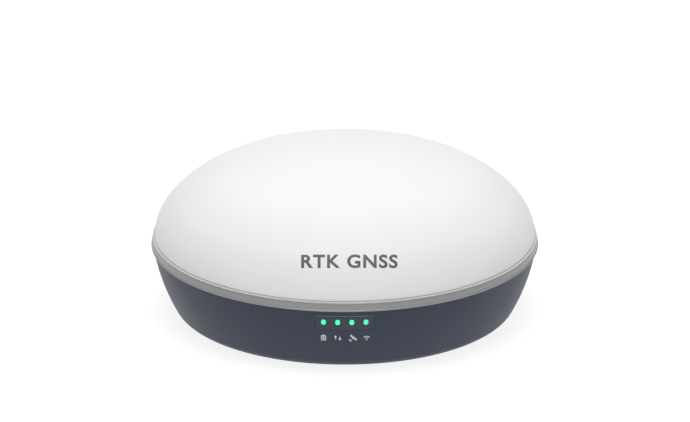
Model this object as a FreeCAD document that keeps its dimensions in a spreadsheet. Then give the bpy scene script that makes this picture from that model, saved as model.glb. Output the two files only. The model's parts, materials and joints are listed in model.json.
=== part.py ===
import FreeCAD, Part
import math
import os
import re
import Sketcher

# GNSS survey receiver, in millimetres. +Z is up along the pole axis, the status panel faces -Y and
# z = 0 is the plane on which the pole seat and the feet stand.

Vector = FreeCAD.Vector
DOC = FreeCAD.newDocument("gnss_receiver")
SHEET = DOC.addObject("Spreadsheet::Sheet", "Dimensions")
NODES = []

DIMENSIONS = {
    # Shared sizes.
    "wall": 2.5, "fit_gap": 0.02, "board_thick": 1.6, "small_board_thick": 1.2,
    "fine_screw": 1.0, "small_screw": 1.25, "case_screw": 1.5,
    # Radome: four tangent arcs from the lower edge to the crown, and a lip over the band.
    "dome_radius": 76.6, "dome_edge": 33.0, "dome_base_arc": 16.97, "dome_base_turn": 27.0,
    "dome_middle_arc": 28.0, "dome_middle_turn": 48.0,
    "dome_shoulder_arc": 57.6, "dome_shoulder_turn": 73.38,
    "lip_radius": 77.42, "lip_base": 32.2, "lip_top": 32.55, "lip_groove": 76.4,
    "skirt_radius": 75.0, "skirt_inner": 72.5, "skirt_step": 34.0, "skirt_fade": 36.0,
    # Housing bowl: a flat foot, a corner arc and a long side arc, turns taken from the floor.
    "base_z": 1.5, "floor_z": 4.0, "foot_radius": 63.57, "corner_arc": 6.16, "corner_turn": 61.8,
    "side_arc": 78.76, "side_turn": 80.2, "inner_turn": 75.0, "rim_shoulder": 24.0, "rim_top": 31.0,
    "seal_groove_inner": 73.0, "seal_groove_outer": 74.5, "seal_groove_floor": 29.8,
    "seal_cord": 0.55, "seal_radius": 73.75, "seal_z": 30.4,
    # Band round the joint.
    "band_inner": 75.1, "band_foot_radius": 77.1, "band_top": 32.15,
    "band_bead": 0.36, "band_face_arc": 6.0,
    # Screws that hold the radome, their posts, bosses and brass inserts.
    "post_circle": 61.0, "post_radius": 4.5, "post_top": 32.6, "post_hole": 1.7,
    "post_counterbore": 3.2, "screw_seat": 14.0, "screw_head": 2.9, "screw_head_base": 11.0,
    "screw_tip": 39.0, "boss_radius": 4.0, "boss_bore_top": 41.0, "brass_radius": 2.3,
    "brass_base": 33.4, "brass_top": 39.4, "boss_bury": 1.2,
    # Brass pole insert with a 5/8 inch bore, its flange, screws and seal.
    "bore_radius": 6.75, "bore_chamfer": 1.1, "bore_depth": 18.5, "flange_radius": 19.0,
    "flange_top": 2.5, "spigot_radius": 12.0, "spigot_top": 22.0, "hub_radius": 22.0, "hub_top": 9.0,
    "flange_screw_circle": 16.0, "flange_screw_head": 2.8, "flange_screw_base": 0.3,
    "flange_screw_seat": 1.7, "flange_screw_tip": 8.0, "insert_seal_radius": 12.85,
    "insert_seal_cord": 0.55, "insert_seal_z": 3.15, "insert_seal_room": 13.5, "insert_seal_top": 3.8,
    # Feet, vent and type plate under the bowl.
    "foot_spot": 35.4, "foot_pad": 6.0, "foot_edge": 5.5, "foot_bevel": 0.4, "foot_top": 2.2,
    "vent_across": -50.0, "vent_along": 22.0, "vent_head": 4.4, "vent_stem": 3.0, "vent_seat": 2.1,
    "vent_top": 5.5, "vent_lip": 3.4, "vent_slit": 0.8,
    "label_length": 30.0, "label_width": 12.0, "label_spot": 45.0, "label_face": 1.3,
    # Status panel on the front, with light pipes and lamps.
    "panel_width": 23.1, "panel_low": 20.1, "panel_high": 26.3, "panel_depth": 1.5, "panel_gap": 0.1,
    "lamp_pitch": 5.55, "lamp_z": 23.8, "pipe_radius": 0.9, "pipe_stretch": 0.26, "pipe_gap": 0.06,
    "pipe_bar_front": -71.2, "pipe_bar_back": -69.4, "pipe_bar_half": 11.2, "pipe_bar_low": 22.4,
    "pipe_bar_high": 25.2, "lamp_half": 0.8,
    "led_board_front": -68.3, "led_board_back": -67.1, "led_board_half": 17.0, "led_board_low": 17.5,
    "led_board_high": 26.5, "led_post_spot": 15.0, "led_post_z": 20.0, "led_post_radius": 2.2,
    "led_screw": 0.9, "led_screw_head": 1.7, "led_screw_tip": -71.0, "led_screw_back": -66.1,
    # Port recess, hinged cover and its pin on the rear.
    "cover_tilt": 20.0, "cover_half": 13.0, "cover_height": 13.0, "cover_gap": 0.25,
    "cover_floor": 67.1, "hinge_back": 68.0, "hinge_z": 8.2, "knuckle_radius": 2.8,
    "knuckle_room": 3.3, "hinge_pin": 0.6, "pin_half": 14.75, "hinge_run": 0.05,
    "port_block_half": 17.0, "port_block_face": 62.0, "port_block_top": 24.0,
    "usb_spot": -6.5, "usb_width": 8.94, "usb_height": 3.16, "usb_front": 67.8, "usb_back": 60.5,
    "usb_skin": 0.3, "usb_tongue_half": 3.3, "usb_tongue_thick": 0.7, "opening_gap": 0.35,
    "card_spot": 5.5, "card_width": 9.6, "card_height": 1.5, "card_front": 66.0, "card_back": 50.0,
    "card_slot_width": 8.9, "card_slot_height": 0.8,
    # Board behind the ports, on four pegs.
    "io_half": 15.5, "io_near": 44.0, "io_far": 61.5, "io_low": 10.4, "io_high": 11.6,
    "peg_across": 12.5, "peg_near": 47.0, "peg_far": 58.5, "peg_radius": 2.0, "peg_tip": 0.8,
    "peg_top": 12.1,
    # Power button: modelled facing +Y, then turned about Z to its place on the rear right.
    "button_turn": -60.0, "button_z": 15.0, "button_radius": 5.0, "button_face": 74.4,
    "button_back": 67.1, "button_flange": 6.8, "button_flange_back": 65.6, "button_bore": 5.2,
    "button_boss": 9.5, "button_boss_face": 67.2, "button_boss_reach": 71.5, "button_dish": 0.4,
    "dish_radius": 3.9, "button_stem": 1.5, "button_stem_tip": 62.4, "button_seal_ring": 5.7,
    "button_seal_cord": 0.5, "button_seal_spot": 69.6, "button_seal_room": 6.3,
    "button_seal_half": 0.6, "plunger_radius": 1.6, "plunger_tip": 61.0, "switch_half": 3.1,
    "switch_front": 61.6, "switch_bore_floor": 60.0, "switch_bore": 1.75, "switch_board_front": 58.2,
    "switch_board_back": 57.0, "switch_board_half": 7.0, "switch_board_low": 4.5,
    "switch_board_high": 21.0, "rail_half": 8.0, "rail_back": 55.8, "rail_front": 59.4,
    "rail_top": 7.0,
    # Socket for the radio whip in a pocket under the bowl.
    "jack_spot": -50.0, "jack_pocket": 11.0, "jack_pocket_top": 11.0, "jack_wall": 13.5,
    "jack_ceiling": 13.5, "jack_radius": 5.55, "jack_mouth": 2.3, "jack_flange": 7.5,
    "jack_flange_base": 10.0, "jack_neck": 4.75, "jack_neck_top": 18.0, "jack_tail": 3.0,
    "jack_tail_top": 20.0, "jack_cavity": 4.2, "jack_cavity_top": 8.0, "jack_contact": 1.3,
    "jack_contact_tip": 3.0, "nut_corner": 7.5, "nut_top": 16.0,
    # Battery: two cells in a cradle, with a clamp, links and leads.
    "cell_spot": 33.0, "cell_radius": 9.2, "cell_half": 32.5, "cell_z": 14.4, "cell_cap": 3.0,
    "cell_cap_high": 0.8, "cradle_half": 44.0, "cradle_depth": 36.0, "cradle_top": 13.0,
    "cradle_window": 22.5, "cradle_window_half": 24.0, "cradle_gap": 0.1, "cradle_end": 0.4,
    "tab_half": 3.0, "tab_thick": 0.3, "tab_low": 12.0, "tab_high": 20.0,
    "clamp_half": 47.5, "clamp_depth": 7.0, "clamp_low": 23.8, "clamp_high": 25.0,
    "clamp_foot": 54.0, "clamp_foot_low": 9.0, "clamp_screw_spot": 50.5, "clamp_boss": 2.9,
    "clamp_head": 2.2, "clamp_head_high": 1.6, "clamp_tip": 5.5,
    "lead_radius": 0.8, "lead_z": 18.0, "lead_bend": 3.5, "lead_spot": -38.5,
    # Stack of boards on hexagonal standoffs.
    "stack_across": 20.0, "stack_along": 44.0, "hex_corner": 3.2, "stack_boss": 3.6,
    "stack_boss_top": 10.0, "stud_tip": 5.2, "main_low": 27.0, "main_radius": 54.0,
    "standoff_bore": 21.0, "plate_low": 39.0, "plate_high": 40.5, "plate_bore": 33.0,
    "plate_stud_tip": 21.5, "plate_screw_tip": 33.5, "plate_screw_head": 2.4,
    "plate_screw_head_high": 1.6, "board_hole": 1.4, "cable_hole": 2.0,
    # Modules on the main board.
    "gnss_half": 20.0, "gnss_depth": 30.0, "gnss_low": 31.6, "gnss_high": 33.0,
    "gnss_can_half": 16.0, "gnss_can_depth": 24.0, "gnss_can_high": 36.0, "can_skin": 0.3,
    "radio_out": -46.0, "radio_in": -25.0, "radio_depth": 20.0, "radio_high": 34.0,
    "cell_modem_in": 25.0, "cell_modem_out": 46.0, "cell_modem_near": -18.0,
    "cell_modem_far": 12.0, "cell_modem_high": 31.2, "short_range_in": 27.0,
    "short_range_out": 42.0, "short_range_near": 18.0, "short_range_far": 30.0,
    "tilt_out": -34.0, "tilt_in": -26.0, "tilt_near": 24.0, "tilt_far": 32.0, "chip_high": 30.6,
    "strip_outer": 72.45, "strip_inner": 71.9, "strip_low": 24.5, "strip_high": 30.5,
    "strip_span": 40.0,
    # Connectors.
    "plug_low": 25.5, "io_plug_spot": 47.0, "io_plug_high": 13.0, "plug_half": 5.0,
    "plug_depth": 1.5, "led_plug_spot": 7.5, "led_plug_low": 20.5, "led_plug_high": 23.5,
    "led_plug_back": -65.6, "coax_plug_half": 2.5,
    # Antenna stack.
    "antenna_post_spot": 34.0, "antenna_post": 2.8, "ground_low": 44.5, "ground_high": 46.1,
    "ground_radius": 52.0, "ground_screw_head": 1.9, "ground_screw_head_high": 1.3,
    "ground_screw_tip": 41.7, "antenna_bore": 41.5, "antenna_stud": 1.2,
    "lower_patch_radius": 32.0, "lower_patch_top": 51.1, "foil_thick": 0.25,
    "lower_foil_radius": 27.0, "upper_patch_radius": 22.0, "upper_patch_top": 56.35,
    "upper_foil_radius": 17.0, "lna_half": 14.0, "lna_depth": 12.0, "lna_low": 41.5,
    # Cables and ribbons.
    "coax_radius": 0.9, "coax_high": 43.0, "coax_low": 34.2, "coax_bend": 4.0, "coax_reach": 56.0,
    "coax_start": 40.0, "coax_end": 33.0, "radio_run": 32.5, "radio_bend": 3.0, "radio_end": -40.0,
    "ribbon_width": 8.0, "ribbon_thick": 0.3, "ribbon_z": 22.0, "ribbon_bend": 3.0,
    "ribbon_spot": -50.0,
}

POST_ANGLES = (0, 60, 120, 180, 240, 300)
DIAGONALS = (45, 135, 225, 315)
TURNS = {
    "x": FreeCAD.Rotation(Vector(0, 1, 0), 90),
    "y": FreeCAD.Rotation(Vector(1, 0, 0), -90),
    "z": FreeCAD.Rotation(),
}


def fill_sheet():
    for row, (name, size) in enumerate(DIMENSIONS.items(), start=1):
        SHEET.set(f"A{row}", name)
        SHEET.set(f"B{row}", str(size))
        SHEET.setAlias(f"B{row}", name)
    DOC.recompute()


def linked(text):
    """Turn the bare names in an expression into references to the sheet."""
    return re.sub(r"\b[a-z][a-z0-9_]*\b(?!\()", lambda found: "Dimensions." + found.group(0), str(text))


def size_of(text):
    """The value of an expression over the sheet's names."""
    return float(SHEET.evalExpression(str(text)))


def bind(item, prop, text):
    item.setExpression(prop, linked(text))


def node(item):
    """Mark an object as one of the receiver's pieces."""
    NODES.append(item)
    return item


# Primitives whose limits are expressions over the sheet.

def about(width, centre="0"):
    return (f"({centre}) - ({width}) / 2", f"({centre}) + ({width}) / 2")


def block(name, x, y, z):
    """A box between a low and a high limit along each axis."""
    box = DOC.addObject("Part::Box", name)
    for prop, axis, (low, high) in zip(("Length", "Width", "Height"), "xyz", (x, y, z)):
        bind(box, prop, f"({high}) - ({low})")
        bind(box, f"Placement.Base.{axis}", low)
    return box


def stand(item, x, y, z, axis, length):
    """Put a primitive that grows along its own Z on an axis; its position there is a pair of limits."""
    item.Placement = FreeCAD.Placement(Vector(), TURNS[axis])
    for letter, where in zip("xyz", (x, y, z)):
        if letter == axis:
            bind(item, length, f"({where[1]}) - ({where[0]})")
            where = where[0]
        bind(item, f"Placement.Base.{letter}", where)
    return item


def rod(name, radius, z, x="0", y="0", axis="z"):
    """A cylinder; the coordinate along its axis is a pair of limits."""
    item = DOC.addObject("Part::Cylinder", name)
    bind(item, "Radius", radius)
    return stand(item, x, y, z, axis, "Height")


def prism(name, corner, z, x="0", y="0"):
    item = DOC.addObject("Part::Prism", name)
    item.Polygon = 6
    bind(item, "Circumradius", corner)
    return stand(item, x, y, z, "z", "Height")


def cone(name, low_radius, high_radius, z):
    item = DOC.addObject("Part::Cone", name)
    bind(item, "Radius1", low_radius)
    bind(item, "Radius2", high_radius)
    return stand(item, "0", "0", z, "z", "Height")


def ring(name, radius, cord, y, z, axis="z"):
    item = DOC.addObject("Part::Torus", name)
    item.Placement = FreeCAD.Placement(Vector(), TURNS[axis])
    bind(item, "Radius1", radius)
    bind(item, "Radius2", cord)
    bind(item, "Placement.Base.y", y)
    bind(item, "Placement.Base.z", z)
    return item


def fuse(name, *shapes):
    item = DOC.addObject("Part::MultiFuse", name)
    item.Shapes = list(shapes)
    return item


def cut(name, base, *tools):
    item = DOC.addObject("Part::Cut", name)
    item.Base = base
    item.Tool = tools[0] if len(tools) == 1 else fuse(name + "_tools", *tools)
    return item


def common(name, *shapes):
    item = DOC.addObject("Part::MultiCommon", name)
    item.Shapes = list(shapes)
    return item


def group(name, *shapes):
    item = DOC.addObject("Part::Compound", name)
    item.Links = list(shapes)
    return item


def copies(name, source, spots):
    """The same shape at several (x, y, z) spots, as separate solids."""
    links = []
    for number, spot in enumerate(spots, start=1):
        link = DOC.addObject("App::Link", f"{name}_copy{number}")
        link.LinkedObject = source
        link.LinkTransform = True
        for letter, where in zip("xyz", spot):
            bind(link, f"Placement.Base.{letter}", where)
        links.append(link)
    return group(name, *links)


def circle_spots(radius, angles):
    return [(f"{radius} * cos({angle})", f"{radius} * sin({angle})", "0") for angle in angles]


def square_spots(across, along):
    return [(f"{i} * {across}", f"{j} * {along}", "0") for i in (-1, 1) for j in (-1, 1)]


def turned(item):
    """Turn a piece of the power button's group from +Y to its place on the rear right."""
    bind(item, "Placement.Rotation.Angle", "button_turn")
    return item


# Revolved pieces: a closed section through corners (radius, height[, arc radius, side]) where the
# arc leaves its corner, with its centre on the left (+1) or on the right (-1) of the way round.

def section_edge(start, finish):
    """The sketch geometry of one side of a section, and which of its ends is its start."""
    a = Vector(size_of(start[0]), size_of(start[1]), 0)
    b = Vector(size_of(finish[0]), size_of(finish[1]), 0)
    if len(start) == 2:
        return Part.LineSegment(a, b), 1
    radius, side = size_of(start[2]), start[3]
    half = (b - a) * 0.5
    rise = math.sqrt(radius ** 2 - half.Length ** 2)
    left = Vector(-half.y, half.x, 0).normalize()
    centre = a + half + left * (rise * side)
    first, last = (a, b) if side > 0 else (b, a)
    angles = [math.atan2(point.y - centre.y, point.x - centre.x) for point in (first, last)]
    arc = Part.ArcOfCircle(Part.Circle(centre, Vector(0, 0, 1), radius), *angles)
    return arc, 1 if side > 0 else 2


def hold_corner(sketch, geometry, end, corner):
    """Hold a corner at its radius and height, or on the axis where its radius is zero."""
    if corner[0] == "0":
        sketch.addConstraint(Sketcher.Constraint("PointOnObject", geometry, end, -2))
    else:
        number = sketch.addConstraint(
            Sketcher.Constraint("DistanceX", -1, 1, geometry, end, size_of(corner[0])))
        bind(sketch, f"Constraints[{number}]", corner[0])
    if corner[1] == "0":
        sketch.addConstraint(Sketcher.Constraint("PointOnObject", geometry, end, -1))
    else:
        number = sketch.addConstraint(
            Sketcher.Constraint("DistanceY", -1, 1, geometry, end, size_of(corner[1])))
        bind(sketch, f"Constraints[{number}]", corner[1])


def revolved(name, corners):
    """A body turned about the Z axis from a closed section."""
    body = DOC.addObject("PartDesign::Body", name)
    sketch = body.newObject("Sketcher::SketchObject", name + "_section")
    plane = [item for item in body.Origin.OriginFeatures if item.Role == "XZ_Plane"][0]
    sketch.AttachmentSupport = [(plane, "")]
    sketch.MapMode = "FlatFace"
    starts = []
    for start, finish in zip(corners, corners[1:] + corners[:1]):
        shape, end = section_edge(start, finish)
        starts.append(end)
        sketch.addGeometry(shape, False)
    count = len(corners)
    for index, corner in enumerate(corners):
        after = (index + 1) % count
        sketch.addConstraint(
            Sketcher.Constraint("Coincident", index, 3 - starts[index], after, starts[after]))
        hold_corner(sketch, index, starts[index], corner)
        if len(corner) == 4:
            number = sketch.addConstraint(Sketcher.Constraint("Radius", index, size_of(corner[2])))
            bind(sketch, f"Constraints[{number}]", corner[2])
    turn = body.newObject("PartDesign::Revolution", name + "_turn")
    turn.Profile = sketch
    turn.ReferenceAxis = (sketch, ["V_Axis"])
    turn.Angle = 360
    return body


# The two outer curves, each at a depth below the outer surface.

DOME_CENTRE = "(dome_radius - dome_base_arc)"
MIDDLE_X = f"({DOME_CENTRE} + (dome_base_arc - dome_middle_arc) * cos(dome_base_turn))"
MIDDLE_Z = "(dome_edge + (dome_base_arc - dome_middle_arc) * sin(dome_base_turn))"
SHOULDER_X = f"({MIDDLE_X} + (dome_middle_arc - dome_shoulder_arc) * cos(dome_middle_turn))"
SHOULDER_Z = f"({MIDDLE_Z} + (dome_middle_arc - dome_shoulder_arc) * sin(dome_middle_turn))"
CROWN_DROP = f"({SHOULDER_X} / cos(dome_shoulder_turn))"
SIDE_X = "(foot_radius + (corner_arc - side_arc) * sin(corner_turn))"
SIDE_Z = "(base_z + corner_arc + (side_arc - corner_arc) * cos(corner_turn))"


def dome_points(depth):
    """Ends of the base, middle and shoulder arcs and the crown of the dome's curve."""
    base = f"(dome_base_arc - {depth})"
    middle = f"(dome_middle_arc - {depth})"
    shoulder = f"(dome_shoulder_arc - {depth})"
    return [
        (f"{DOME_CENTRE} + {base} * cos(dome_base_turn)", f"dome_edge + {base} * sin(dome_base_turn)"),
        (f"{MIDDLE_X} + {middle} * cos(dome_middle_turn)", f"{MIDDLE_Z} + {middle} * sin(dome_middle_turn)"),
        (f"{SHOULDER_X} + {shoulder} * cos(dome_shoulder_turn)",
         f"{SHOULDER_Z} + {shoulder} * sin(dome_shoulder_turn)"),
        ("0", f"{SHOULDER_Z} + dome_shoulder_arc + {CROWN_DROP} * (1 - sin(dome_shoulder_turn)) - {depth}"),
    ]


def dome_arcs(depth):
    return [f"dome_base_arc - {depth}", f"dome_middle_arc - {depth}", f"dome_shoulder_arc - {depth}",
            f"dome_shoulder_arc + {CROWN_DROP} - {depth}"]


def dome_rise(depth):
    """Corners of the dome's curve from the end of its base arc to the crown, each with its arc."""
    points = dome_points(depth)
    return [(*point, arc, 1) for point, arc in zip(points, dome_arcs(depth)[1:])] + [points[-1]]


def bowl_points(depth, turn):
    """End of the foot, end of the corner arc and end of the side arc of the bowl's curve."""
    corner = f"(corner_arc - {depth})"
    side = f"(side_arc - {depth})"
    return [
        ("foot_radius", f"base_z + {depth}"),
        (f"foot_radius + {corner} * sin(corner_turn)", f"base_z + corner_arc - {corner} * cos(corner_turn)"),
        (f"{SIDE_X} + {side} * sin({turn})", f"{SIDE_Z} - {side} * cos({turn})"),
    ]


def dome_solid(name, depth):
    """The whole volume under the dome's curve, less a skin of the given depth."""
    return revolved(name, [
        ("0", "dome_edge"),
        (f"dome_radius - {depth}", "dome_edge", dome_arcs(depth)[0], 1),
        *dome_rise(depth),
    ])


def bowl_solid(name, depth):
    """The whole volume inside the bowl's curve, less a skin of the given depth."""
    points = bowl_points(depth, "side_turn")
    return revolved(name, [
        ("0", f"base_z + {depth}"),
        (*points[0], f"corner_arc - {depth}", 1),
        (*points[1], f"side_arc - {depth}", 1),
        points[2],
        ("0", points[2][1]),
    ])


def hex_screw(name, shank, head, outer, seat, tip, up=True):
    """A screw with a hexagon socket; up means that its tip is above its head."""
    depth = f"({seat} - ({outer})) * 0.55"
    head_span, shank_span = ((outer, seat), (seat, tip)) if up else ((seat, outer), (tip, seat))
    socket_low = outer if up else f"{outer} + {depth}"
    socket_high = f"{outer} + {depth}" if up else outer
    body = fuse(name + "_blank", rod(name + "_head", head, head_span),
                rod(name + "_shank", shank, shank_span))
    socket = prism(name + "_socket", f"{head} * 0.55", (socket_low, socket_high))
    return cut(name + "_one", body, socket)


# Enclosure.

def make_radome():
    fall = [(*point, arc, -1) for point, arc in zip(dome_points("wall"), dome_arcs("wall"))]
    fade = f"{DOME_CENTRE} + sqrt((dome_base_arc - wall)^2 - (skirt_fade - dome_edge)^2)"
    shell = revolved("radome_shell", [
        ("skirt_inner", "rim_top"),
        ("skirt_radius", "rim_top"),
        ("skirt_radius", "lip_base"),
        ("lip_radius", "lip_base"),
        ("lip_radius", "lip_top - 0.1"),
        ("lip_radius - 0.12", "lip_top"),
        ("lip_groove", "lip_top"),
        ("lip_groove", "dome_edge"),
        ("dome_radius", "dome_edge", "dome_base_arc", 1),
        *dome_rise("0"),
        *reversed(fall),
        (fade, "skirt_fade"),
        ("skirt_inner", "skirt_step"),
    ])
    boss = rod("radome_boss", "boss_radius", ("dome_edge", "dome_edge + dome_base_arc * 2"))
    bosses = copies("radome_bosses", boss, circle_spots("post_circle", POST_ANGLES))
    trimmed = common("radome_bosses_trimmed", bosses, dome_solid("radome_core", "boss_bury"))
    bore = rod("radome_bore", "brass_radius + fit_gap", ("rim_top", "boss_bore_top"))
    bores = copies("radome_bores", bore, circle_spots("post_circle", POST_ANGLES))
    node(cut("radome", fuse("radome_blank", shell, trimmed), bores))


def make_band():
    ledge = bowl_points("0", "side_turn")[2][1]
    node(revolved("mid_ring", [
        ("band_inner", ledge),
        ("band_foot_radius", ledge),
        ("band_foot_radius", f"{ledge} + 0.25"),
        ("band_foot_radius + 0.54", f"{ledge} + 0.25", "band_bead", 1),
        ("band_foot_radius + 0.72", f"{ledge} + 0.92"),
        ("band_foot_radius + 0.6", f"{ledge} + 0.98", "band_face_arc", 1),
        ("band_foot_radius + 0.35", "band_top - 0.12"),
        ("band_foot_radius + 0.2", "band_top"),
        ("band_inner", "band_top"),
    ]))
    node(ring("radome_seal", "seal_radius", "seal_cord", "0", "seal_z"))


def housing_shell():
    outer = bowl_points("0", "side_turn")
    inner = bowl_points("wall", "inner_turn")
    return revolved("housing_shell", [
        ("0", "base_z"),
        (*outer[0], "corner_arc", 1),
        (*outer[1], "side_arc", 1),
        outer[2],
        ("skirt_radius", outer[2][1]),
        ("skirt_radius", "rim_top"),
        ("seal_groove_outer", "rim_top"),
        ("seal_groove_outer", "seal_groove_floor"),
        ("seal_groove_inner", "seal_groove_floor"),
        ("seal_groove_inner", "rim_top"),
        ("skirt_inner", "rim_top"),
        ("skirt_inner", "rim_shoulder"),
        (*inner[2], "side_arc - wall", -1),
        (*inner[1], "corner_arc - wall", -1),
        inner[0],
        ("0", "floor_z"),
    ])


def housing_bosses(skin):
    """Everything that stands on the inside of the bowl, kept below its outer skin."""
    root = "base_z + 1"
    stack = rod("stack_boss", "stack_boss", (root, "stack_boss_top"))
    clamp = rod("clamp_boss", "clamp_boss", (root, "clamp_foot_low"))
    peg = fuse("io_peg", rod("io_peg_body", "peg_radius", (root, "io_low")),
               rod("io_peg_tip", "peg_tip", ("io_low", "peg_top")))
    led_post = rod("led_post", "led_post_radius", "led_post_z", y=("-skirt_radius", "led_board_front"),
                   axis="y")
    parts = [
        rod("hub", "hub_radius", (root, "hub_top")),
        copies("stack_bosses", stack, square_spots("stack_across", "stack_along")),
        copies("clamp_bosses", clamp, [("-clamp_screw_spot", "0", "0"), ("clamp_screw_spot", "0", "0")]),
        copies("io_pegs", peg, [(f"{i} * peg_across", spot, "0") for i in (-1, 1)
                                for spot in ("peg_near", "peg_far")]),
        copies("led_posts", led_post, [("-led_post_spot", "0", "0"), ("led_post_spot", "0", "0")]),
        rod("jack_wall", "jack_wall", (root, "jack_ceiling"), y="jack_spot"),
        block("port_block", about("port_block_half * 2"), ("port_block_face", "dome_radius"),
              (root, "port_block_top")),
        turned(group("button_boss_turned",
                     rod("button_boss", "button_boss", "button_z",
                         y=("button_boss_face", "button_boss_reach"), axis="y"))),
        turned(cut("switch_rail",
                   block("switch_rail_body", about("rail_half * 2"), ("rail_back", "rail_front"),
                         (root, "rail_top")),
                   block("switch_rail_slot", about("switch_board_half * 2 + 0.2"),
                         ("switch_board_back - 0.05", "switch_board_front + 0.05"),
                         ("switch_board_low - 0.1", "rail_top + 1")))),
    ]
    return common("housing_bosses", fuse("housing_bosses_raw", *parts), skin)


def oval(name, radius, y):
    """A bar along Y with a slightly tall oval section, at the height of the lamps."""
    ends = [rod(f"{name}_{side}", radius, f"lamp_z {side} pipe_stretch", y=y, axis="y")
            for side in ("+", "-")]
    middle = block(name + "_middle", about(f"({radius}) * 2"), y,
                   ("lamp_z - pipe_stretch", "lamp_z + pipe_stretch"))
    return fuse(name, middle, *ends)


def lamp_spots():
    return [(f"{step} * lamp_pitch", "0", "0") for step in (-1.5, -0.5, 0.5, 1.5)]


def panel_block(name, gap):
    return block(name, about(f"panel_width - {gap} * 2"), ("-dome_radius - wall", "-skirt_inner + wall"),
                 (f"panel_low + {gap}", f"panel_high - {gap}"))


def cover_block(name, gap, depth):
    """The port cover's place: a box leaning with the bowl, on the level of the hinge."""
    box = block(name, about(f"cover_half * 2 + {gap} * 2"), ("cover_floor", "cover_floor + wall * 4"),
                ("hinge_z", f"hinge_z + cover_height + {gap}"))
    box.Placement = FreeCAD.Placement(Vector(), FreeCAD.Rotation(Vector(-1, 0, 0), 1))
    bind(box, "Placement.Rotation.Angle", "cover_tilt")
    bind(box, "Placement.Base.y", f"cover_floor + {depth} * cos(cover_tilt)")
    bind(box, "Placement.Base.z", f"hinge_z - {depth} * sin(cover_tilt)")
    return box


def underside_cutters():
    """Recesses, pockets and holes that are reached from below."""
    below = "base_z - 1"
    post = fuse("post_cut", rod("post_counterbore", "post_counterbore", (below, "screw_seat")),
                rod("post_hole", "post_hole", (below, "post_top + 1")))
    foot = rod("foot_cut", "foot_pad + 0.1", (below, "foot_top"))
    flange_pilot = rod("flange_pilot", "case_screw + fit_gap", (below, "flange_screw_tip + 0.4"))
    return [
        rod("hub_bore", "spigot_radius + 0.05", (below, "hub_top + 1")),
        rod("flange_cut", "flange_radius + 0.15", (below, "flange_top")),
        rod("insert_seal_cut", "insert_seal_room", (below, "insert_seal_top")),
        copies("flange_pilots", flange_pilot, circle_spots("flange_screw_circle", DIAGONALS)),
        copies("post_cuts", post, circle_spots("post_circle", POST_ANGLES)),
        copies("foot_cuts", foot, square_spots("foot_spot", "foot_spot")),
        rod("vent_head_cut", "vent_head + 0.15", (below, "vent_seat"), "vent_across", "vent_along"),
        rod("vent_stem_cut", "vent_stem + fit_gap", (below, "floor_z + 1"), "vent_across", "vent_along"),
        rod("jack_pocket", "jack_pocket", (below, "jack_pocket_top"), y="jack_spot"),
        rod("jack_hole", "jack_neck + fit_gap", (below, "jack_ceiling + 1"), y="jack_spot"),
    ]


def inside_cutters():
    """Pilot holes for the screws that are driven from inside."""
    stack = rod("stack_pilot", "small_screw + fit_gap", ("stud_tip - 0.2", "stack_boss_top + 1"))
    clamp = rod("clamp_pilot", "small_screw + fit_gap", ("clamp_tip - 0.3", "clamp_foot_low + 1"))
    led = rod("led_pilot", "led_screw + fit_gap", "led_post_z",
              y=("led_screw_tip - 0.3", "led_board_front + 1"), axis="y")
    return [
        copies("stack_pilots", stack, square_spots("stack_across", "stack_along")),
        copies("clamp_pilots", clamp, [("-clamp_screw_spot", "0", "0"), ("clamp_screw_spot", "0", "0")]),
        copies("led_pilots", led, [("-led_post_spot", "0", "0"), ("led_post_spot", "0", "0")]),
    ]


def panel_cutters(panel_core):
    pipe = oval("pipe_hole", "pipe_radius + pipe_gap", ("-dome_radius - wall", "pipe_bar_back"))
    return [
        cut("panel_recess", panel_block("panel_recess_box", "0"), panel_core),
        copies("pipe_holes", pipe, lamp_spots()),
    ]


def port_cutters():
    usb_middle = "io_high + usb_height / 2"
    card_middle = "io_high + card_height / 2"
    span = ("port_block_face - 1", "dome_radius")
    return [
        cover_block("cover_recess", "cover_gap", "0"),
        rod("knuckle_room", "knuckle_room", "hinge_z", about("cover_half * 2 + cover_gap * 2"), "hinge_back",
            axis="x"),
        rod("hinge_hole", "hinge_pin + fit_gap", "hinge_z", about("pin_half * 2 + 0.2"), "hinge_back",
            axis="x"),
        block("usb_opening", about("usb_width + opening_gap * 2", "usb_spot"), span,
              about("usb_height + opening_gap * 2", usb_middle)),
        block("card_opening", about("card_width + opening_gap * 2", "card_spot"), span,
              about("card_height + opening_gap * 2", card_middle)),
    ]


def button_cutter():
    bore = rod("button_bore", "button_bore", "button_z", y=("button_flange_back", "dome_radius + wall"),
               axis="y")
    groove = rod("button_groove", "button_seal_room", "button_z",
                 y=about("button_seal_half * 2", "button_seal_spot"), axis="y")
    return turned(fuse("button_cut", bore, groove))


def make_housing(panel_core):
    skin = bowl_solid("bowl_skin", "1")
    post = rod("radome_post", "post_radius", ("base_z + 1", "post_top"))
    posts = copies("radome_posts", post, circle_spots("post_circle", POST_ANGLES))
    blank = fuse("housing_blank", housing_shell(), housing_bosses(skin), posts)
    cutters = underside_cutters() + inside_cutters() + panel_cutters(panel_core) + port_cutters()
    node(cut("housing", blank, *cutters, button_cutter()))


def make_case_fasteners():
    screw = hex_screw("housing_screw", "case_screw", "screw_head", "screw_head_base", "screw_seat",
                      "screw_tip")
    node(copies("housing_screws", screw, circle_spots("post_circle", POST_ANGLES)))
    brass = cut("radome_insert", rod("brass_outer", "brass_radius", ("brass_base", "brass_top")),
                rod("brass_bore", "case_screw + fit_gap", ("brass_base - 1", "brass_top + 1")))
    node(copies("radome_inserts", brass, circle_spots("post_circle", POST_ANGLES)))


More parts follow.
